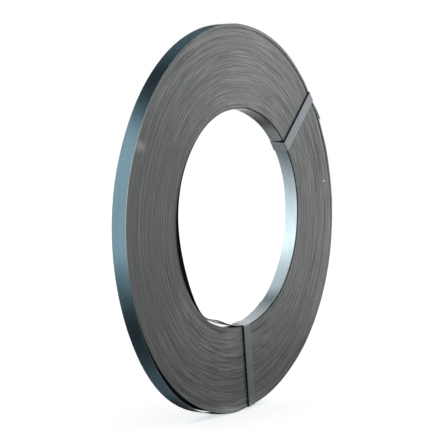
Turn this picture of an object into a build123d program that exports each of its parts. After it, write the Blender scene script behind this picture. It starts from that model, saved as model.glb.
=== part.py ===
"""Coil of blued steel strapping: one ribbon-wound strap, held by two narrow steel ties.

The coil stands on its rim. Its axis lies along Y with the front end towards -Y, +Z is up, and the
origin is the centre of the bore. Until it is stood up, the coil is modelled lying on its back, with
its axis along Z, its front end up and angles counted from +X towards +Y. Millimetres and degrees.
"""

import math
import os

from build123d import *

# Strap and winding
strap_width = 16.0
strap_thickness = 0.5
bore_radius = 112.5
coil_radius = 195.5

# Bands of turns that slipped along the axis, from the bore to the rim: the band's outer edge as a
# share of the winding's depth, and its slip as a share of the largest slip
slip = 0.6
band_shares = (
    (0.06, 0.0),
    (0.15, 0.5),
    (0.25, -0.3),
    (0.36, 0.65),
    (0.45, -0.6),
    (0.57, 1.0),
    (0.68, -0.15),
    (0.80, -0.85),
    (0.91, 0.4),
    (1.00, 0.0),
)

# Outermost turn, sprung off the winding at the lower left
spring_start_angle = 188.0
spring_end_angle = 268.0
spring_crest_share = 0.63
spring_lift = 5.5

# Innermost turn, sagged off the winding at the left of the bore
sag_start_angle = 160.0
sag_end_angle = 231.0
sag_crest_share = 0.61
sag_gap = 5.2

# Outer end of the strap, which stands free over a hollow in the rim
tail_angle = 33.5
hollow_start_angle = 5.0
hollow_end_angle = 44.0
hollow_crest_share = 0.74
hollow_depth = 2.7

# Two turns count as parted once they are this far from each other
parting = 0.1
curve_points = 12
overrun = 5.0

# Ties: strips wrapped round the section, each with its leading edge on the radius at its angle
tie_width = 12.0
tie_thickness = 0.4
tie_clearance = 0.05
tie_bend_radius = 0.9
tie_lap = 34.0
upper_tie_angle = 45.2
lower_tie_angle = 279.0

# Turn about X that stands the coil up
upright_angle = 90.0


def polar(radius, angle):
    """The point at a radius and angle on the coil's end."""
    turn = math.radians(angle)
    return (radius * math.cos(turn), radius * math.sin(turn))


def swell_curve(radius, rise, start, end, crest_share):
    """The stretch of a swelling turn that is clear of the circle it swells from.

    The turn leaves the circle at one angle, rises by sin squared to its crest, which lies at a share of
    the way, and comes back at the other. Returns the curve and the angles where it meets the circle.
    """
    lean = math.log(1 / 2) / math.log(crest_share)
    touch_share = math.asin(math.sqrt(parting / abs(rise))) / math.pi
    first_share = touch_share ** (1 / lean)
    last_share = (1 - touch_share) ** (1 / lean)
    sunk = math.copysign(parting, rise)
    points = []
    for step in range(curve_points + 1):
        share = first_share + (last_share - first_share) * step / curve_points
        height = rise * math.sin(math.pi * share**lean) ** 2 - sunk
        points.append(polar(radius + height, start + (end - start) * share))
    first = start + (end - start) * first_share
    last = start + (end - start) * last_share
    return Spline(*points), first, last


def crescent(radius, rise, start, end, crest_share):
    """The face between a circle and a turn that swells out from it."""
    curve, first, last = swell_curve(radius, rise, start, end, crest_share)
    return make_face([curve, CenterArc((0, 0), radius, first, last - first)])


def ring_sector(inner, outer, start, end):
    """The face between two circles and two angles."""
    return make_face(
        [
            CenterArc((0, 0), inner, start, end - start),
            CenterArc((0, 0), outer, start, end - start),
            Line(polar(inner, start), polar(outer, start)),
            Line(polar(inner, end), polar(outer, end)),
        ]
    )


def winding():
    """The wound turns as one turned solid, with their bands stepped on both ends."""
    front = []
    back = []
    inner = bore_radius
    for edge_share, slip_share in band_shares:
        outer = bore_radius + (coil_radius - bore_radius) * edge_share
        middle = slip * slip_share
        front += [(inner, middle + strap_width / 2), (outer, middle + strap_width / 2)]
        back += [(inner, middle - strap_width / 2), (outer, middle - strap_width / 2)]
        inner = outer
    outline = Polyline(*front, *reversed(back), close=True)
    return revolve(Plane.XZ * make_face(outline), Axis.Z)


def tail_hollow():
    """The hollow in the rim before and under the strap's end, with the end itself left standing."""
    bend = (hollow_start_angle, hollow_end_angle, hollow_crest_share)
    curve, first, last = swell_curve(coil_radius, -hollow_depth, *bend)
    brim = coil_radius + overrun
    hollow = make_face(
        [
            curve,
            Line(polar(coil_radius, first), polar(brim, first)),
            CenterArc((0, 0), brim, first, last - first),
            Line(polar(brim, last), polar(coil_radius, last)),
        ]
    )
    skin = coil_radius - strap_thickness
    return hollow - ring_sector(skin, brim + overrun, tail_angle, hollow_end_angle)


def through(face):
    """A cut right through the coil from one end to the other."""
    return extrude(face, strap_width / 2 + slip + overrun, both=True)


def strap_coil():
    """The winding with its loose outer turn, its sagged inner turn and the strap's free end."""
    spring = (spring_lift, spring_start_angle, spring_end_angle, spring_crest_share)
    sag = (sag_gap, sag_start_angle, sag_end_angle, sag_crest_share)
    sprung_turn = extrude(crescent(coil_radius, *spring), strap_width / 2, both=True)
    spring_gap = through(crescent(coil_radius - strap_thickness, *spring))
    sag_opening = through(crescent(bore_radius + strap_thickness, *sag))
    return winding() + sprung_turn - spring_gap - sag_opening - through(tail_hollow())


def tie(angle):
    """A strip round the coil's section, seated on its proudest turns and lapped on the back."""
    seat_inner = bore_radius - tie_clearance
    seat_outer = coil_radius + tie_clearance
    seat_height = strap_width / 2 + slip + tie_clearance
    middle = (seat_inner + seat_outer) / 2
    depth = seat_outer - seat_inner
    outer = RectangleRounded(
        depth + 2 * tie_thickness,
        2 * (seat_height + tie_thickness),
        tie_bend_radius,
    )
    inner = RectangleRounded(depth, 2 * seat_height, tie_bend_radius - tie_thickness)
    lap = Pos(0, -seat_height - tie_thickness) * Rectangle(tie_lap, 2 * tie_thickness)
    section = Pos(middle, 0) * (outer + lap - inner)
    ring = revolve(Plane.XZ * section, Axis.Z)
    reach = seat_outer + overrun
    strip = Box(reach, tie_width, 2 * (seat_height + overrun), align=(Align.MIN, Align.MAX, Align.CENTER))
    return ring & (Rot(Z=angle) * strip)


upright = Rot(X=upright_angle)
pieces = {
    "strap_coil": strap_coil(),
    "upper_tie": tie(upper_tie_angle),
    "lower_tie": tie(lower_tie_angle),
}
os.makedirs("parts", exist_ok=True)
for name, piece in pieces.items():
    export_step(upright * piece, f"parts/{name}.step")
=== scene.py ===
"""A coil of blued steel strapping, standing on its rim on a white studio floor.

The frame is the CAD model's: metres, the coil's axis along Y with its front end towards -Y, +Z up and
the origin at the centre of the bore. Angles on the coil count from +X towards +Z, seen from the front.
"""

import math

import bpy
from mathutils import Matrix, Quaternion, Vector


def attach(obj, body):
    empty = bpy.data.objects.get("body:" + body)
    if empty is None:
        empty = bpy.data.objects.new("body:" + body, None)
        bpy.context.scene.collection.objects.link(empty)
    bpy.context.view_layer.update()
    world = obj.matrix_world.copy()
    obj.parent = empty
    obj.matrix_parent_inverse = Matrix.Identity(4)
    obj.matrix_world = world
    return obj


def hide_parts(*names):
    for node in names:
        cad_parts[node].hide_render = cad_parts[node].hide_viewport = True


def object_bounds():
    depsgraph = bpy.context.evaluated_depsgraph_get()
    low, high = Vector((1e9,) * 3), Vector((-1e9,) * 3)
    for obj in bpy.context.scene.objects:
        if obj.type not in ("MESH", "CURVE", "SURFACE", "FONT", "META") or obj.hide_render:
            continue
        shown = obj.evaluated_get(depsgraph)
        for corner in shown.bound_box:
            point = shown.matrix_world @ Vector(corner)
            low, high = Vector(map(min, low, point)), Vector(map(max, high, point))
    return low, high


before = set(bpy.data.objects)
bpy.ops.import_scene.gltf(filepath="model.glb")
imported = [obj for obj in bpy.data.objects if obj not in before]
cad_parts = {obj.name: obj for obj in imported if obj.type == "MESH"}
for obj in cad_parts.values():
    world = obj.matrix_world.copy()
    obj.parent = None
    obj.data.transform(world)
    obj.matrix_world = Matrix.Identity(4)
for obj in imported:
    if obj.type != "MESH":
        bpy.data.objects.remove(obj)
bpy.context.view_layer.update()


# The strap: one steel strip of 16 x 0.5 mm, slit from a wider sheet, blued in a furnace and wound turn on
# turn. The turns slip a little along the axis, the bore and the rim have pulled out of round, and the
# loose first and last turns stand off the winding.

scene = bpy.context.scene
MM = 0.001

strap_width = 16.0 * MM
strap_thickness = 0.5 * MM
edge_crown = 0.07 * MM
strap_turns = 150.755
steps_per_turn = 106
tail_angle = 33.5

# Radius of the bore's wall and of the rim, in millimetres, at angles round the coil
bore_outline = (
    (0, 114.5), (10, 115.2), (20, 115.5), (30, 115.2), (38, 114.6), (47, 113.9), (55, 113.6),
    (62, 113.1), (70, 112.3), (78, 111.9), (87, 111.8), (96, 111.5), (103, 111.8), (110, 112.7),
    (120, 113.6), (130, 114.6), (140, 115.2), (152, 116.2), (168, 117.4), (190, 118.0), (212, 117.9),
    (234, 116.6), (241.5, 115.1), (245.5, 113.7), (250, 112.75), (255, 112.05), (260, 111.05),
    (266, 110.0), (272, 109.85), (278, 110.1), (290, 110.3), (300, 111.0), (312, 112.2), (326, 113.0),
    (345, 114.2), (360, 114.5),
)
rim_outline = (
    (0, 195.3), (8, 194.4), (15, 193.3), (24, 193.1), (30, 192.35), (33.5, 192.4), (37, 192.2),
    (40.3, 191.85), (43.7, 190.45), (47, 192.0), (50.5, 192.3), (54, 192.5), (62, 193.7), (72, 194.5),
    (80, 195.0), (90, 195.8), (100, 196.6), (140, 195.9), (155, 195.5), (170, 196.2), (185, 196.7),
    (198, 197.0), (212, 197.5), (235, 198.1), (247, 197.9), (257, 197.9), (266, 198.0), (270, 197.5),
    (274, 196.05), (278, 195.95), (284, 196.2), (300, 196.2), (316, 197.2), (330, 197.2), (342, 197.1),
    (354, 195.9), (360, 195.3),
)

# Turns that part from their neighbours: start and end angle, crest's share of the way, rise in millimetres
dropped_first_turn = (44, 106, 0.44, -0.85)
sagged_first_turn = (119, 238, 0.70, -6.1)
bowed_first_turn = (233, 275, 0.377, -4.8)
sprung_last_turn = (188, 267, 0.62, 4.2)
slack_last_turns = (284, 478, 0.62, 1.5)
slack_turn_count = 6

# The strap's two ends, lifted off the turns next to them over their last degrees
tail_lift = 2.75 * MM
tail_lift_angle = 7.0
tip_lift = 0.4 * MM
tip_lift_angle = 5.0

# Slip along the axis: a slow drift, and a jitter from turn to turn. The turns lie snug on one side: its
# heading in degrees, and the cosines off that heading where the snugness starts and where it is full
slip_reach = 0.65 * MM
jitter_reach = 0.36 * MM
snug_side = (180.0, 0.70, 0.98)
snug_share = 0.5


class Reading:
    """A number in a node tree; arithmetic on readings places the Math nodes that work it out."""

    def __init__(self, tree, socket):
        self.tree = tree
        self.socket = socket

    def math(self, operation, *others, clamp=False):
        node = self.tree.nodes.new("ShaderNodeMath")
        node.operation = operation
        node.use_clamp = clamp
        for socket, value in zip(node.inputs, (self, *others)):
            if isinstance(value, Reading):
                self.tree.links.new(value.socket, socket)
            else:
                socket.default_value = value
        return Reading(self.tree, node.outputs[0])

    def __add__(self, other):
        return self.math("ADD", other)

    def __radd__(self, other):
        return self.math("ADD", other)

    def __sub__(self, other):
        return self.math("SUBTRACT", other)

    def __rsub__(self, other):
        return self.math("MULTIPLY", -1.0).math("ADD", other)

    def __mul__(self, other):
        return self.math("MULTIPLY", other)

    def __truediv__(self, other):
        return self.math("DIVIDE", other)

    def __pow__(self, other):
        return self.math("POWER", other)

    def above(self, limit):
        return self.math("GREATER_THAN", limit)

    def below(self, limit):
        return self.math("LESS_THAN", limit)

    def held(self):
        """The reading held between 0 and 1."""
        return self.math("ADD", 0.0, clamp=True)


def put(tree, kind, values=None, **settings):
    """A new node, with plain values or links for its named or numbered inputs."""
    node = tree.nodes.new(kind)
    for name, setting in settings.items():
        setattr(node, name, setting)
    for name, value in (values or {}).items():
        socket = node.inputs[name]
        if isinstance(value, Reading):
            tree.links.new(value.socket, socket)
        elif isinstance(value, bpy.types.NodeSocket):
            tree.links.new(value, socket)
        else:
            socket.default_value = value
    return node


def stretched(value, low, high):
    """A reading stretched so that low becomes 0 and high becomes 1."""
    return ((value - low) / (high - low)).held()


def outlined(angle, outline):
    """A radius in metres, read off an outline at an angle in degrees."""
    low = min(radius for _, radius in outline)
    high = max(radius for _, radius in outline)
    node = put(angle.tree, "ShaderNodeFloatCurve", {"Value": angle / 360.0})
    points = node.mapping.curves[0].points
    spots = [(at / 360.0, (radius - low) / (high - low)) for at, radius in outline]
    points[0].location = spots[0]
    points[1].location = spots[-1]
    for spot in spots[1:-1]:
        points.new(*spot)
    for point in points:
        point.handle_type = "AUTO_CLAMPED"
    node.mapping.update()
    return Reading(angle.tree, node.outputs["Value"]) * ((high - low) * MM) + low * MM


def swell(angle, start, end, crest_share, rise):
    """How far a parted turn stands off: it rises by sine squared to its crest and comes back."""
    lean = math.log(0.5) / math.log(crest_share)
    share = ((angle - start).math("FLOORED_MODULO", 360.0) / (end - start)).held()
    height = (share**lean * math.pi).math("SINE")
    return height * height * (rise * MM)


def ring_noise(turn, direction, turn_scale, ring_scale, detail):
    """Smooth noise that follows the strap: it changes from turn to turn and slowly round the coil."""
    tree = turn.tree
    cosine, sine = direction
    spot = {0: turn * turn_scale, 1: cosine * ring_scale, 2: sine * ring_scale}
    place = put(tree, "ShaderNodeCombineXYZ", spot)
    noise = put(tree, "ShaderNodeTexNoise", {"Vector": place.outputs[0], "Scale": 1.0, "Detail": detail})
    return Reading(tree, noise.outputs["Fac"])


def on_side(direction, heading, start, full):
    """A mask of the coil's side at a heading in degrees, between two cosines off that heading."""
    cosine, sine = direction
    turned = math.radians(heading)
    return stretched(cosine * math.cos(turned) + sine * math.sin(turned), start, full)


slit_edge = bpy.data.materials.new("slit_edge")
blued_flat = bpy.data.materials.new("blued_flat")

winding = bpy.data.node_groups.new("strap winding", "GeometryNodeTree")
winding.interface.new_socket("Geometry", in_out="OUTPUT", socket_type="NodeSocketGeometry")
winding_sizes = {
    "Strap Width": strap_width,
    "Strap Thickness": strap_thickness,
    "Edge Crown": edge_crown,
    "Turns": strap_turns,
    "Steps per Turn": steps_per_turn,
    "Slip": slip_reach,
    "Jitter": jitter_reach,
    "Tail Lift": tail_lift,
    "Tip Lift": tip_lift,
}
for name in winding_sizes:
    winding.interface.new_socket(name, in_out="INPUT", socket_type="NodeSocketFloat")
sizes = put(winding, "NodeGroupInput")
size = {name: Reading(winding, sizes.outputs[name]) for name in winding_sizes}

# Path of the strap's middle line, from its inner end out to its tail
step_count = size["Turns"] * size["Steps per Turn"]
line = put(winding, "GeometryNodeCurvePrimitiveLine")
path = put(
    winding,
    "GeometryNodeResampleCurve",
    {"Curve": line.outputs[0], "Count": step_count + 1.0},
    mode="COUNT",
)
index = Reading(winding, put(winding, "GeometryNodeInputIndex").outputs[0])
turn = index / size["Steps per Turn"]
turns_left = size["Turns"] - turn
angle = (turns_left + tail_angle / 360.0).math("FRACT") * 360.0
bearing = angle * (math.pi / 180.0)
direction = (bearing.math("COSINE"), bearing.math("SINE"))
bore = outlined(angle, bore_outline)
rim = outlined(angle, rim_outline)
depth = turn / size["Turns"]
radius = bore + size["Strap Thickness"] * 0.5 + (rim - bore - size["Strap Thickness"]) * depth
for parting in (dropped_first_turn, sagged_first_turn, bowed_first_turn):
    radius += swell(angle, *parting) * turn.below(1.0)
radius += swell(angle, *sprung_last_turn) * turns_left.below(1.0)
radius += swell(angle, *slack_last_turns) * turns_left.below(slack_turn_count)
freed = (1.0 - turns_left * (360.0 / tail_lift_angle)).held()
radius += freed * size["Tail Lift"]
freed = (1.0 - turn * (360.0 / tip_lift_angle)).held()
radius -= freed * freed * size["Tip Lift"]
drift = ring_noise(turn, direction, turn_scale=0.27, ring_scale=0.6, detail=2.0)
jitter = ring_noise(turn, direction, turn_scale=1.37, ring_scale=1.2, detail=1.0)
slip = (drift - 0.5) * size["Slip"] + (jitter - 0.5) * size["Jitter"]
slip *= 1.0 - on_side(direction, *snug_side) * snug_share
spot = put(winding, "ShaderNodeCombineXYZ", {0: radius * direction[0], 1: radius * direction[1], 2: slip})
path = put(winding, "GeometryNodeSetPosition", {"Geometry": path.outputs[0], "Position": spot.outputs[0]})
path = put(winding, "GeometryNodeSetCurveNormal", {"Curve": path.outputs[0]}, mode="Z_UP")
path = put(
    winding,
    "GeometryNodeStoreNamedAttribute",
    {"Geometry": path.outputs[0], "Name": "turn", "Value": turn},
    data_type="FLOAT",
    domain="POINT",
)

# Section of the strap: flat faces, and slit edges that stand out a little at mid thickness
hexagon = put(winding, "GeometryNodeCurvePrimitiveCircle", {"Resolution": 6, "Radius": 1.0}, mode="RADIUS")
corner = put(winding, "ShaderNodeSeparateXYZ", {0: put(winding, "GeometryNodeInputPosition").outputs[0]})
corner_x = Reading(winding, corner.outputs["X"])
corner_y = Reading(winding, corner.outputs["Y"])
setback = (1.0 - corner_x.math("ABSOLUTE")) * size["Edge Crown"] * 2.0
across = corner_x.math("SIGN") * (setback - size["Strap Width"] * 0.5)
gauge = corner_y / math.sin(math.radians(60))
spot = put(winding, "ShaderNodeCombineXYZ", {0: gauge * size["Strap Thickness"] * 0.5, 1: across})
section = put(
    winding,
    "GeometryNodeSetPosition",
    {"Geometry": hexagon.outputs[0], "Position": spot.outputs[0]},
)

# The swept strap, stood up on its rim, with its slit edges sharp and left bare of the blueing
sharp_fold = math.radians(45)
edge_facing = 0.6
strap = put(
    winding,
    "GeometryNodeCurveToMesh",
    {"Curve": path.outputs[0], "Profile Curve": section.outputs[0], "Fill Caps": True},
)
strap = put(winding, "GeometryNodeTransform", {"Geometry": strap.outputs[0], "Rotation": (math.pi / 2, 0, 0)})
fold = Reading(winding, put(winding, "GeometryNodeInputMeshEdgeAngle").outputs["Unsigned Angle"])
strap = put(
    winding,
    "GeometryNodeSetShadeSmooth",
    {"Geometry": strap.outputs[0], "Selection": fold.above(sharp_fold), "Shade Smooth": False},
    domain="EDGE",
)
normal = put(winding, "GeometryNodeInputNormal").outputs[0]
facing = put(winding, "ShaderNodeSeparateXYZ", {0: normal})
facing_end = Reading(winding, facing.outputs["Y"]).math("ABSOLUTE").above(edge_facing)
stand = put(winding, "GeometryNodeInputPosition").outputs[0]
outward = put(winding, "ShaderNodeVectorMath", {0: normal, 1: stand}, operation="DOT_PRODUCT")
bore_side = Reading(winding, outward.outputs["Value"]).below(0.0)
strap = put(
    winding,
    "GeometryNodeStoreNamedAttribute",
    {"Geometry": strap.outputs[0], "Name": "bore_side", "Value": bore_side},
    data_type="FLOAT",
    domain="FACE",
)
strap = put(winding, "GeometryNodeRealizeInstances", {"Geometry": strap.outputs[0]})
strap = put(winding, "GeometryNodeSetMaterial", {"Geometry": strap.outputs[0], "Material": blued_flat})
strap = put(
    winding,
    "GeometryNodeSetMaterial",
    {"Geometry": strap.outputs[0], "Selection": facing_end, "Material": slit_edge},
)
put(winding, "NodeGroupOutput", {0: strap.outputs[0]})


def grown(name, tree, values):
    """The plain mesh that a node tree gives, with its named inputs set."""
    holder = bpy.data.objects.new(name, bpy.data.meshes.new(name + "_seed"))
    scene.collection.objects.link(holder)
    modifier = holder.modifiers.new(name, "NODES")
    modifier.node_group = tree
    for socket in tree.interface.items_tree:
        if socket.in_out == "INPUT":
            modifier[socket.identifier] = values[socket.name]
    ready = holder.evaluated_get(bpy.context.evaluated_depsgraph_get())
    mesh = bpy.data.meshes.new_from_object(ready)
    holder.modifiers.remove(modifier)
    holder.data = mesh
    mesh.name = name
    return holder


strap_winding = grown("strap_winding", winding, winding_sizes)
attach(strap_winding, "root")
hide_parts("strap_coil")

# Fine lines that rolling and handling leave along a steel strip, and the broad cloud behind them
strip_lines = bpy.data.node_groups.new("strip lines", "ShaderNodeTree")
for name in ("Along", "Across", "Run", "Fineness"):
    strip_lines.interface.new_socket(name, in_out="INPUT", socket_type="NodeSocketFloat")
for name in ("Lines", "Cloud"):
    strip_lines.interface.new_socket(name, in_out="OUTPUT", socket_type="NodeSocketFloat")
given = put(strip_lines, "NodeGroupInput")
along, breadth, run, fineness = (Reading(strip_lines, socket) for socket in given.outputs[:4])
place = put(strip_lines, "ShaderNodeCombineXYZ", {0: along / run, 1: breadth * fineness})
lines = put(strip_lines, "ShaderNodeTexNoise", {"Vector": place.outputs[0], "Scale": 1.0, "Detail": 4.0})
broad = {0: along / run * 4.0, 1: breadth * fineness * 0.06, 2: 3.7}
place = put(strip_lines, "ShaderNodeCombineXYZ", broad)
cloud = put(strip_lines, "ShaderNodeTexNoise", {"Vector": place.outputs[0], "Scale": 1.0, "Detail": 3.0})
put(strip_lines, "NodeGroupOutput", {"Lines": lines.outputs["Fac"], "Cloud": cloud.outputs["Fac"]})


def bare_tree(material):
    """The material's node tree with nothing but its shader."""
    material.use_nodes = True
    tree = material.node_tree
    tree.nodes.clear()
    shader = put(tree, "ShaderNodeBsdfPrincipled", {"Metallic": 1.0})
    put(tree, "ShaderNodeOutputMaterial", {"Surface": shader.outputs[0]})
    return tree, shader


def reading(tree, name):
    """A named attribute of the piece."""
    return Reading(tree, put(tree, "ShaderNodeAttribute", attribute_name=name).outputs["Fac"])


def object_place(tree):
    """The point's place on the piece: X, Y and Z in metres."""
    place = put(tree, "ShaderNodeSeparateXYZ", {0: put(tree, "ShaderNodeTexCoord").outputs["Object"]})
    return [Reading(tree, socket) for socket in place.outputs]


def blended(tree, share, low, high):
    """A colour between two others."""
    node = put(tree, "ShaderNodeMix", {"Factor": share}, data_type="RGBA")
    for name, colour in (("A", low), ("B", high)):
        socket = next(s for s in node.inputs if s.name == name and s.type == "RGBA")
        if isinstance(colour, bpy.types.NodeSocket):
            tree.links.new(colour, socket)
        else:
            socket.default_value = (*colour, 1.0)
    return next(s for s in node.outputs if s.type == "RGBA")


def soft_spot(x, z, middle_x, middle_z, reach_x, reach_z):
    """A mask that is 1 in the middle of a spot on the coil's end and fades to 0 at its reach."""
    over = (x - middle_x) / reach_x
    up = (z - middle_z) / reach_z
    return (1.0 - over * over - up * up).held()


# Bare slit edges: grey steel in fine rings, with random bright lines and dark lines. A painted glint
# raises the rings' contrast at the bottom and lowers it on the snug side, and painted light and shade make
# the bottom lighter and the right and the snug side darker. Painted shade darkens the first turns, most
# where the first one drops and least on its bow, and the front has a scuff and a nick.
edge_dark = (0.0838, 0.089, 0.0872)
edge_light = (0.286, 0.299, 0.294)
edge_bright = (0.50, 0.51, 0.50)
edge_gap_shade = (0.04, 0.042, 0.041)
edge_shade = (0.012, 0.012, 0.013)
edge_scuffed = (0.42, 0.43, 0.42)
edge_nicked = (0.8, 0.8, 0.8)

# Sides of the coil where light and shade are painted on the slit edges, given as the snug side is
lit_low_side = (250.0, 0.75, 0.98)
shaded_right_side = (38.0, 0.75, 0.98)
shaded_side = (180.0, 0.72, 0.97)

# Spots on the coil's ends: middle and reach, each along X and Z
bow_spot = (-37.0 * MM, -101.0 * MM, 26.0 * MM, 26.0 * MM)
drop_shadow_spot = (28.0 * MM, 109.0 * MM, 22.0 * MM, 22.0 * MM)
scuff_spot = (-176.5 * MM, 69.2 * MM, 10.0 * MM, 7.0 * MM)
nick_spot = (173.3 * MM, 38.7 * MM, 2.4 * MM, 1.2 * MM)

tree, shader = bare_tree(slit_edge)
edge_turn = reading(tree, "turn")
x, y, z = object_place(tree)
front = y.below(0.0)
reach = (x * x + z * z).math("SQRT")
edge_direction = (x / reach, z / reach)
rings = ring_noise(edge_turn, edge_direction, turn_scale=0.83, ring_scale=1.7, detail=2.0)
hair = ring_noise(edge_turn, edge_direction, turn_scale=1.73, ring_scale=4.5, detail=2.0)
cloud = ring_noise(edge_turn, edge_direction, turn_scale=0.05, ring_scale=2.6, detail=4.0)
# Painted light and shade by side: the low side is lighter with a stronger painted glint, and the right and
# the snug side are darker, the snug side with calmer rings
low = on_side(edge_direction, *lit_low_side)
left = on_side(edge_direction, *snug_side)
right = on_side(edge_direction, *shaded_right_side)
painted_glint = 1.0 + low * 0.65 - left * 0.6
tone = (rings * 0.65 + hair + cloud * 0.15 - 0.9) * painted_glint + low * 0.11 - right * 0.06 - left * 0.05
colour = blended(tree, stretched(tone, -0.30, 0.30), edge_dark, edge_light)
# Random bright lines, made stronger by the painted glint at the bottom and weaker on the snug side
bright = ring_noise(edge_turn, edge_direction, turn_scale=2.31, ring_scale=3.2, detail=1.0)
bright = stretched(bright, 0.66, 0.74) * painted_glint * 0.42
colour = blended(tree, bright, colour, edge_bright)
# Random dark lines: painted shade of gaps between turns, stronger at the bottom with the painted glint
gap_shade_lines = ring_noise(edge_turn, edge_direction, turn_scale=0.97, ring_scale=0.9, detail=1.0)
gap_shade_lines = (stretched(gap_shade_lines, 0.66, 0.74) * painted_glint * 0.75).held()
colour = blended(tree, gap_shade_lines, colour, edge_gap_shade)
# Painted shade on the first turns' slit edges: 1.8 turns deep, up to 7.8 on the left, more where the first
# turn drops and less on its bow
shaded_turn_reach = 1.8 + on_side(edge_direction, *shaded_side) * 6.0
bow = soft_spot(x, z, *bow_spot)
drop_shadow = soft_spot(x, z, *drop_shadow_spot)
first_turn_shade = (1.0 - edge_turn / shaded_turn_reach - bow * 1.5 + drop_shadow * 0.55).held()
colour = blended(tree, first_turn_shade * 0.75, colour, edge_shade)
colour = blended(tree, soft_spot(x, z, *scuff_spot) * front * 0.6, colour, edge_scuffed)
colour = blended(tree, soft_spot(x, z, *nick_spot) * front, colour, edge_nicked)
tree.links.new(colour, shader.inputs["Base Color"])
tree.links.new((0.32 + rings * 0.16).socket, shader.inputs["Roughness"])

# Blued flats: a teal oxide skin with rolling lines and a painted highlight along the rim's front corner. The
# side towards the bore has a painted lit copy of the skin, grey at the left and pale blue at the right, with
# painted shade along its front corner and beside the strap's inner end. Faces inside the winding are painted
# dark as shade, apart from those that the bowed first turn and the lifted tail lay open, painted a lit grey.
blue_dark = (0.155, 0.272, 0.332)
blue_light = (0.205, 0.322, 0.382)
lit_pale_dark = (0.455, 0.57, 0.63)
lit_pale_light = (0.57, 0.67, 0.72)
plain_dark = (0.53, 0.53, 0.53)
plain_light = (0.64, 0.64, 0.64)
step_shade = (0.17, 0.26, 0.30)
corner_highlight = (0.62, 0.63, 0.65)
front_corner_shade = (0.03, 0.03, 0.032)
lit_open_steel = (0.42, 0.41, 0.40)
covered_shade = (0.022, 0.026, 0.03)
rim_tint = (0.72, 0.88, 0.95)
bore_tint = (0.92, 0.94, 0.95)

# Stretches of the strap, in turns from its inner end or from its tail
mean_turn_length = 0.97
step_shade_start = 0.965
bowed_start = 0.075
bowed_end = 0.205
first_covered_turn = 1.35
last_open_turns = 1.01

tree, shader = bare_tree(blued_flat)
flat_turn = reading(tree, "turn")
x, y, z = object_place(tree)
reach = (x * x + z * z).math("SQRT")
marks = put(tree, "ShaderNodeGroup", node_tree=strip_lines)
tree.links.new((flat_turn * mean_turn_length).socket, marks.inputs["Along"])
tree.links.new(y.socket, marks.inputs["Across"])
marks.inputs["Run"].default_value = 0.12
marks.inputs["Fineness"].default_value = 2600.0
rolling = Reading(tree, marks.outputs["Lines"])
cloud = Reading(tree, marks.outputs["Cloud"])
patch = stretched(cloud * 0.5 + rolling * 0.5, 0.3, 0.7)
blue = blended(tree, patch, blue_dark, blue_light)
# Painted light: a lit, paler copy of the blue skin on the bore side, turning grey towards the left
lit_pale = blended(tree, patch, lit_pale_dark, lit_pale_light)
plain = blended(tree, patch, plain_dark, plain_light)
lit_pale = blended(tree, stretched((x - z * 0.2) / reach, 0.2, 0.75), plain, lit_pale)
# Painted shade on the first turn's bore side just before the strap's inner end, where the step of the end
# falls
lit_pale = blended(tree, stretched(flat_turn, step_shade_start, 1.0) * 0.4, lit_pale, step_shade)
bore_side = reading(tree, "bore_side")
rim_side = 1.0 - bore_side
colour = blended(tree, bore_side, blue, lit_pale)
margin = (cloud - 0.5) * (0.5 * MM) - y
# Painted highlight along the rim side's front corner, fading out towards the bottom
lit_corner = stretched(margin, 7.3 * MM, 7.7 * MM) * stretched(z, -60 * MM, 20 * MM) * rim_side
colour = blended(tree, lit_corner, colour, corner_highlight)
# Painted shade along the bore side's front corner
shaded_corner = stretched(margin, 6.3 * MM, 6.9 * MM) * bore_side
colour = blended(tree, shaded_corner, colour, front_corner_shade)
# Painted light on the faces that the bowed first turn and the lifted tail lay open
bowed = flat_turn.above(bowed_start) * flat_turn.below(bowed_end) * rim_side
lifted = flat_turn.above(strap_turns - tail_lift_angle / 360.0) * bore_side
opened = bowed + lifted
colour = blended(tree, opened, colour, lit_open_steel)
# Painted shade on the faces inside the winding
covered = flat_turn.below(strap_turns - last_open_turns) * rim_side
covered += flat_turn.above(first_covered_turn) * bore_side
covered *= 1.0 - opened
colour = blended(tree, covered, colour, covered_shade)
tree.links.new(colour, shader.inputs["Base Color"])
roughness = 0.19 + rolling * 0.16 + lit_corner * 0.35 + covered * 0.6
tree.links.new(roughness.held().socket, shader.inputs["Roughness"])
tint = blended(tree, (bore_side + bowed).held(), rim_tint, bore_tint)
tree.links.new(tint, shader.inputs["Specular Tint"])
relief = put(tree, "ShaderNodeBump", {"Height": rolling, "Strength": 0.08, "Distance": 0.03 * MM})
tree.links.new(relief.outputs[0], shader.inputs["Normal"])


# The ties: two strips of thin bright steel, each bent once round the coil's section by hand. Each lies on
# the proudest turns of the front, and its ends lap on the back, where two spot welds join them.

tie_width = 12.0 * MM
tie_thickness = 0.4 * MM
tie_edge_ease = 0.12 * MM
tie_front_stand = 9.15 * MM
tie_back_stand = 8.7 * MM
tie_front_bend = 1.3 * MM
tie_back_bend = 0.7 * MM
tie_bend_steps = 5
tie_step = 1.6 * MM
tie_columns = (-1, -0.82, -0.6, -0.4, -0.2, 0, 0.2, 0.4, 0.6, 0.82, 1)
tie_sharp_fold = math.radians(50)
tie_lap = 34.0 * MM
lap_joggle = 3.0 * MM
weld_spacing = 14.0 * MM
weld_radius = 2.2 * MM
weld_depth = 0.16 * MM


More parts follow.
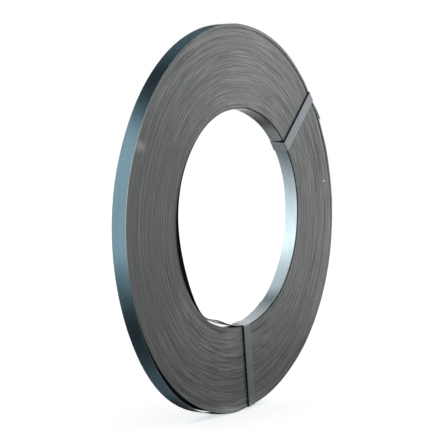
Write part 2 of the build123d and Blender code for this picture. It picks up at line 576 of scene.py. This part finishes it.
def rounded(corners, bends):
    """A path through corner points, with an arc of its own bend at each inner corner."""
    path = [Vector(corners[0])]
    for before, at, after, bend in zip(corners, corners[1:], corners[2:], bends):
        corner = Vector(at)
        back = (Vector(before) - corner).normalized()
        on = (Vector(after) - corner).normalized()
        half = back.angle(on) / 2
        setback = bend / math.tan(half)
        centre = corner + (back + on).normalized() * (bend / math.sin(half))
        start = corner + back * setback - centre
        end = corner + on * setback - centre
        for step in range(tie_bend_steps + 1):
            path.append(centre + start.slerp(end, step / tie_bend_steps) * bend)
    path.append(Vector(corners[-1]))
    return path


def divided(path, longest):
    """The path with its long runs cut into steps."""
    points = [path[0]]
    for start, end in zip(path, path[1:]):
        count = max(1, math.ceil((end - start).length / longest))
        points += [start.lerp(end, step / count) for step in range(1, count + 1)]
    return points


tie_steel = bpy.data.materials.new("tie_steel")


def tie_strip(name, node, leading_angles, skew, inner_front_seat, inner_back_seat, outer_seat):
    """One tie, its leading edge at an angle on the bore and one on the rim, with its back end askew."""
    half = tie_thickness / 2
    inner_front = inner_front_seat - half
    inner_back = inner_back_seat - half
    outer = outer_seat + half
    middle = (inner_back + outer) / 2
    low = middle - tie_lap / 2
    high = middle + tie_lap / 2
    corners = (
        (low, -tie_back_stand),
        (outer, -tie_back_stand),
        (outer, tie_front_stand),
        (inner_front, tie_front_stand),
        (inner_back, -tie_back_stand),
        (low - 2 * lap_joggle, -tie_back_stand),
        (low - lap_joggle, -tie_back_stand - tie_thickness),
        (high, -tie_back_stand - tie_thickness),
    )
    front_bends = (tie_front_bend, tie_front_bend)
    lap_bends = (tie_back_bend, tie_back_bend, tie_back_bend)
    line = divided(rounded(corners, (tie_back_bend, *front_bends, *lap_bends)), tie_step)
    edge = tie_width / 2
    flat = edge - tie_edge_ease
    upper = [(max(-flat, min(flat, edge * share)), half) for share in tie_columns]
    lower = [(s, -h) for s, h in reversed(upper)]
    brink = half * 0.4
    section = [*upper, (edge, brink), (edge, -brink), *lower, (-edge, -brink), (-edge, brink)]
    verts = []
    runs = []
    covered = 0.0
    for number, point in enumerate(line):
        before = line[max(number - 1, 0)]
        after = line[min(number + 1, len(line) - 1)]
        covered += (point - before).length
        heading = (after - before).normalized()
        out = Vector((heading.y, -heading.x))
        on_lap = point.y < -tie_back_stand + half
        for s, h in section:
            spot = point + out * h
            for weld_side in (-0.5, 0.5):
                away = math.hypot(point.x - middle - weld_side * weld_spacing, s)
                if on_lap and away < weld_radius:
                    spot.y += weld_depth * (1 - (away / weld_radius) ** 2) ** 2
            askew = skew * (tie_front_stand - spot.y) / (tie_front_stand + tie_back_stand)
            share = (spot.x - inner_front) / (outer - inner_front)
            leading = leading_angles[0] + (leading_angles[1] - leading_angles[0]) * share
            bearing = math.radians(leading) + math.asin((s - edge + askew) / spot.x)
            verts.append((spot.x * math.cos(bearing), -spot.y, spot.x * math.sin(bearing)))
            runs.append((covered, s))
    around = len(section)
    faces = []
    for row in range(len(line) - 1):
        for column in range(around):
            beside = (column + 1) % around
            a = row * around
            faces.append((a + column, a + beside, a + around + beside, a + around + column))
    faces.append(tuple(reversed(range(around))))
    faces.append(tuple(range(len(verts) - around, len(verts))))
    mesh = bpy.data.meshes.new(name)
    mesh.from_pydata(verts, [], faces)
    lengths = mesh.attributes.new("length", "FLOAT", "POINT")
    widths = mesh.attributes.new("across", "FLOAT", "POINT")
    for number, (length, s) in enumerate(runs):
        lengths.data[number].value = length
        widths.data[number].value = s
    mesh.materials.append(tie_steel)
    mesh.shade_smooth()
    mesh.set_sharp_from_angle(angle=tie_sharp_fold)
    piece = bpy.data.objects.new(name, mesh)
    scene.collection.objects.link(piece)
    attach(piece, "root")
    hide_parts(node)


tie_strip(
    "upper_tie_strip",
    "upper_tie",
    leading_angles=(44.75, 45.4),
    skew=0.0,
    inner_front_seat=112.2 * MM,
    inner_back_seat=114.4 * MM,
    outer_seat=192.75 * MM,
)
tie_strip(
    "lower_tie_strip",
    "lower_tie",
    leading_angles=(277.8, 278.2),
    skew=6.0 * MM,
    inner_front_seat=109.5 * MM,
    inner_back_seat=109.75 * MM,
    outer_seat=195.75 * MM,
)

# Tie steel: satin rolled strip with painted shade on its slit edges and painted light on the legs that cross
# the bore's wall
tie_dark = (0.203, 0.219, 0.235)
tie_light = (0.262, 0.282, 0.303)
tie_edge_shade = (0.05, 0.052, 0.055)
lit_lower_leg = (0.57, 0.595, 0.63)
lit_upper_leg = (0.43, 0.455, 0.48)

tree, shader = bare_tree(tie_steel)
width_place = reading(tree, "across")
x, y, z = object_place(tree)
reach = (x * x + z * z).math("SQRT")
marks = put(tree, "ShaderNodeGroup", node_tree=strip_lines)
tree.links.new(reading(tree, "length").socket, marks.inputs["Along"])
tree.links.new(width_place.socket, marks.inputs["Across"])
marks.inputs["Run"].default_value = 0.03
marks.inputs["Fineness"].default_value = 3000.0
rolling = Reading(tree, marks.outputs["Lines"])
cloud = Reading(tree, marks.outputs["Cloud"])
patch = stretched(rolling * 0.6 + cloud * 0.4, 0.3, 0.7)
colour = blended(tree, patch, tie_dark, tie_light)
# Painted light on the legs that cross the bore's wall, lighter on the lower tie
leg = stretched(reach, 114.2 * MM, 113.7 * MM) * stretched(y, -9.1 * MM, -8.3 * MM)
colour = blended(tree, leg, colour, blended(tree, z.above(0.0), lit_lower_leg, lit_upper_leg))
# Painted shade on the slit edges, weaker on the legs
slit = stretched(width_place.math("ABSOLUTE"), 5.84 * MM, 5.9 * MM)
colour = blended(tree, slit * (1.0 - leg * 0.7), colour, tie_edge_shade)
tree.links.new(colour, shader.inputs["Base Color"])
tree.links.new((0.42 + rolling * 0.16).socket, shader.inputs["Roughness"])
relief = put(tree, "ShaderNodeBump", {"Height": rolling, "Strength": 0.15, "Distance": 0.04 * MM})
tree.links.new(relief.outputs[0], shader.inputs["Normal"])


# The studio: a white floor and surround, and one soft lamp at the right of the front. Cards of graded tone
# that only polished steel sees give the rim, the bore's wall and the slit edges what they mirror.

room_light = 0.58
floor_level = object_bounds()[0][2]
floor_reach = 9
card_level = floor_level + 1 * MM
upper_card_level = 0.28


def level_sheet(left, right, front, back, level):
    """The corners of a level sheet."""
    return [(left, front, level), (right, front, level), (right, back, level), (left, back, level)]


def sheet(name, corners):
    """A flat sheet of the studio through four corners."""
    mesh = bpy.data.meshes.new(name)
    mesh.from_pydata(corners, [], [(0, 1, 2, 3)])
    piece = bpy.data.objects.new(name, mesh)
    scene.collection.objects.link(piece)
    return piece


def seen_directly(tree):
    """1 for the camera's rays and for those that steel mirrors or glass lets through, else 0."""
    rays = put(tree, "ShaderNodeLightPath")
    kinds = ("Is Camera Ray", "Is Glossy Ray", "Is Transmission Ray")
    camera, glossy, through = (Reading(tree, rays.outputs[kind]) for kind in kinds)
    return (camera + glossy + through).held()


floor = sheet("floor", level_sheet(-floor_reach, floor_reach, -floor_reach, floor_reach, floor_level))
floor_white = bpy.data.materials.new("floor_white")
floor_white.use_nodes = True
tree = floor_white.node_tree
tree.nodes.clear()
matt = put(tree, "ShaderNodeBsdfDiffuse", {"Color": (0.85, 0.85, 0.85, 1)})
glow = put(tree, "ShaderNodeEmission", {"Strength": seen_directly(tree) * room_light})
both = put(tree, "ShaderNodeAddShader", {0: matt.outputs[0], 1: glow.outputs[0]})
put(tree, "ShaderNodeOutputMaterial", {"Surface": both.outputs[0]})
floor.data.materials.append(floor_white)


def studio_card(name, corners, axis, tones):
    """A card that only polished steel sees; its tone is given at places along one axis, in metres."""
    card = sheet(name, corners)
    card.visible_camera = False
    card.visible_diffuse = False
    card.visible_transmission = False
    card.visible_shadow = False
    material = bpy.data.materials.new(name)
    material.use_nodes = True
    tree = material.node_tree
    tree.nodes.clear()
    first = tones[0][0]
    last = tones[-1][0]
    place = object_place(tree)["XYZ".index(axis)]
    ramp = put(tree, "ShaderNodeValToRGB", {"Fac": (place - first) / (last - first)})
    for number, (at, tone) in enumerate(tones):
        share = (at - first) / (last - first)
        stop = ramp.color_ramp.elements[number] if number < 2 else ramp.color_ramp.elements.new(share)
        stop.position = share
        stop.color = (tone, tone, tone, 1)
    glow = put(tree, "ShaderNodeEmission", {"Color": ramp.outputs[0]})
    put(tree, "ShaderNodeOutputMaterial", {"Surface": glow.outputs[0]})
    card.data.materials.append(material)


studio_card(
    "rear_floor_card",
    level_sheet(-0.36, 0.10, 0.005, 0.145, card_level),
    "X",
    (
        (-0.36, 0.17), (-0.30, 0.08), (-0.24, 0.04), (-0.17, 0.09), (-0.13, 0.20), (-0.107, 0.22),
        (-0.08, 0.05), (0.10, 0.05),
    ),
)
studio_card(
    "left_floor_card",
    level_sheet(-0.66, -0.30, 0.145, 0.30, card_level),
    "X",
    ((-0.66, 1.0), (-0.56, 0.80), (-0.411, 0.40), (-0.30, 0.12)),
)
studio_card(
    "bore_floor_card",
    level_sheet(-0.30, 1.10, 0.145, 0.75, card_level),
    "X",
    (
        (-0.30, 0.85), (-0.09, 0.68), (-0.016, 0.52), (0.11, 0.20), (0.19, 0.15), (0.25, 0.0),
        (0.33, 0.0), (0.46, 0.27), (1.10, 0.42),
    ),
)
studio_card(
    "rim_card",
    level_sheet(-0.46, 0.60, -0.010, 0.165, upper_card_level),
    "X",
    (
        (-0.46, 0.98), (-0.40, 0.70), (-0.34, 0.37), (-0.28, 0.15), (-0.21, 0.05), (-0.13, 0.05),
        (-0.05, 0.24), (0.05, 0.27), (0.15, 0.06), (0.60, 0.04),
    ),
)
studio_card(
    "bore_card",
    level_sheet(-0.20, 0.70, 0.165, 0.50, upper_card_level),
    "X",
    (
        (-0.20, 1.20), (-0.036, 0.93), (0.05, 0.94), (0.128, 0.22), (0.24, 0.54), (0.39, 0.74),
        (0.70, 0.90),
    ),
)
studio_card(
    "front_floor_card",
    level_sheet(-0.10, 1.20, -0.90, -0.02, card_level),
    "X",
    ((-0.10, 0.12), (0.35, 0.28), (0.70, 0.72), (1.20, 0.8)),
)
studio_card(
    "bore_glow",
    [(-0.34, 0.215, -0.16), (-0.12, 0.215, -0.16), (-0.12, 0.215, 0.27), (-0.34, 0.215, 0.27)],
    "Z",
    ((-0.16, 1.0), (-0.117, 1.05), (-0.035, 1.2), (0.05, 1.8), (0.13, 2.2), (0.20, 1.7), (0.27, 1.2)),
)
studio_card(
    "side_card",
    [(0.75, -1.90, -0.19), (0.75, -0.10, -0.19), (0.75, -0.10, 0.75), (0.75, -1.90, 0.75)],
    "Y",
    ((-1.90, 0.2), (-0.75, 0.2), (-0.45, 1.05), (-0.25, 2.35), (-0.10, 2.6)),
)

lamp_place = Vector((0.80, -0.40, 0.42))
lamp_aim = Vector((0.05, 0.0, 0.10))

softbox = bpy.data.lights.new("key_lamp", "AREA")
softbox.shape = "RECTANGLE"
softbox.size = 0.5
softbox.size_y = 0.4
softbox.energy = 0.85
key_lamp = bpy.data.objects.new("key_lamp", softbox)
key_lamp.location = lamp_place
key_lamp.rotation_euler = (lamp_aim - lamp_place).to_track_quat("-Z", "Y").to_euler()
key_lamp.visible_camera = False
scene.collection.objects.link(key_lamp)

studio = bpy.data.worlds.new("studio")
scene.world = studio
studio.use_nodes = True
tree = studio.node_tree
tree.nodes.clear()
strength = room_light + seen_directly(tree) * (1.0 - room_light)
surround = put(tree, "ShaderNodeBackground", {"Color": (1, 1, 1, 1), "Strength": strength})
put(tree, "ShaderNodeOutputWorld", {"Surface": surround.outputs[0]})


# The camera: a long lens at the left of the coil's front, a little above its middle and rolled by less than
# a degree.

camera_distance = 1.2671
camera_azimuth = math.radians(-57.943)
camera_elevation = math.radians(1.993)
camera_roll = math.radians(0.724)
camera_aim = Vector((-0.03943, 0.0, 0.0042))
camera_sensor = 36.0
camera_lens = 103.84

lens = bpy.data.cameras.new("camera")
lens.sensor_width = camera_sensor
lens.lens = camera_lens
camera = bpy.data.objects.new("camera", lens)
camera.location = camera_distance * Vector((
    math.sin(camera_azimuth) * math.cos(camera_elevation),
    -math.cos(camera_azimuth) * math.cos(camera_elevation),
    math.sin(camera_elevation),
))
sight = (camera_aim - camera.location).to_track_quat("-Z", "Y")
camera.rotation_euler = (sight @ Quaternion((0, 0, 1), camera_roll)).to_euler()
scene.collection.objects.link(camera)
scene.camera = camera

scene.view_settings.view_transform = "Standard"
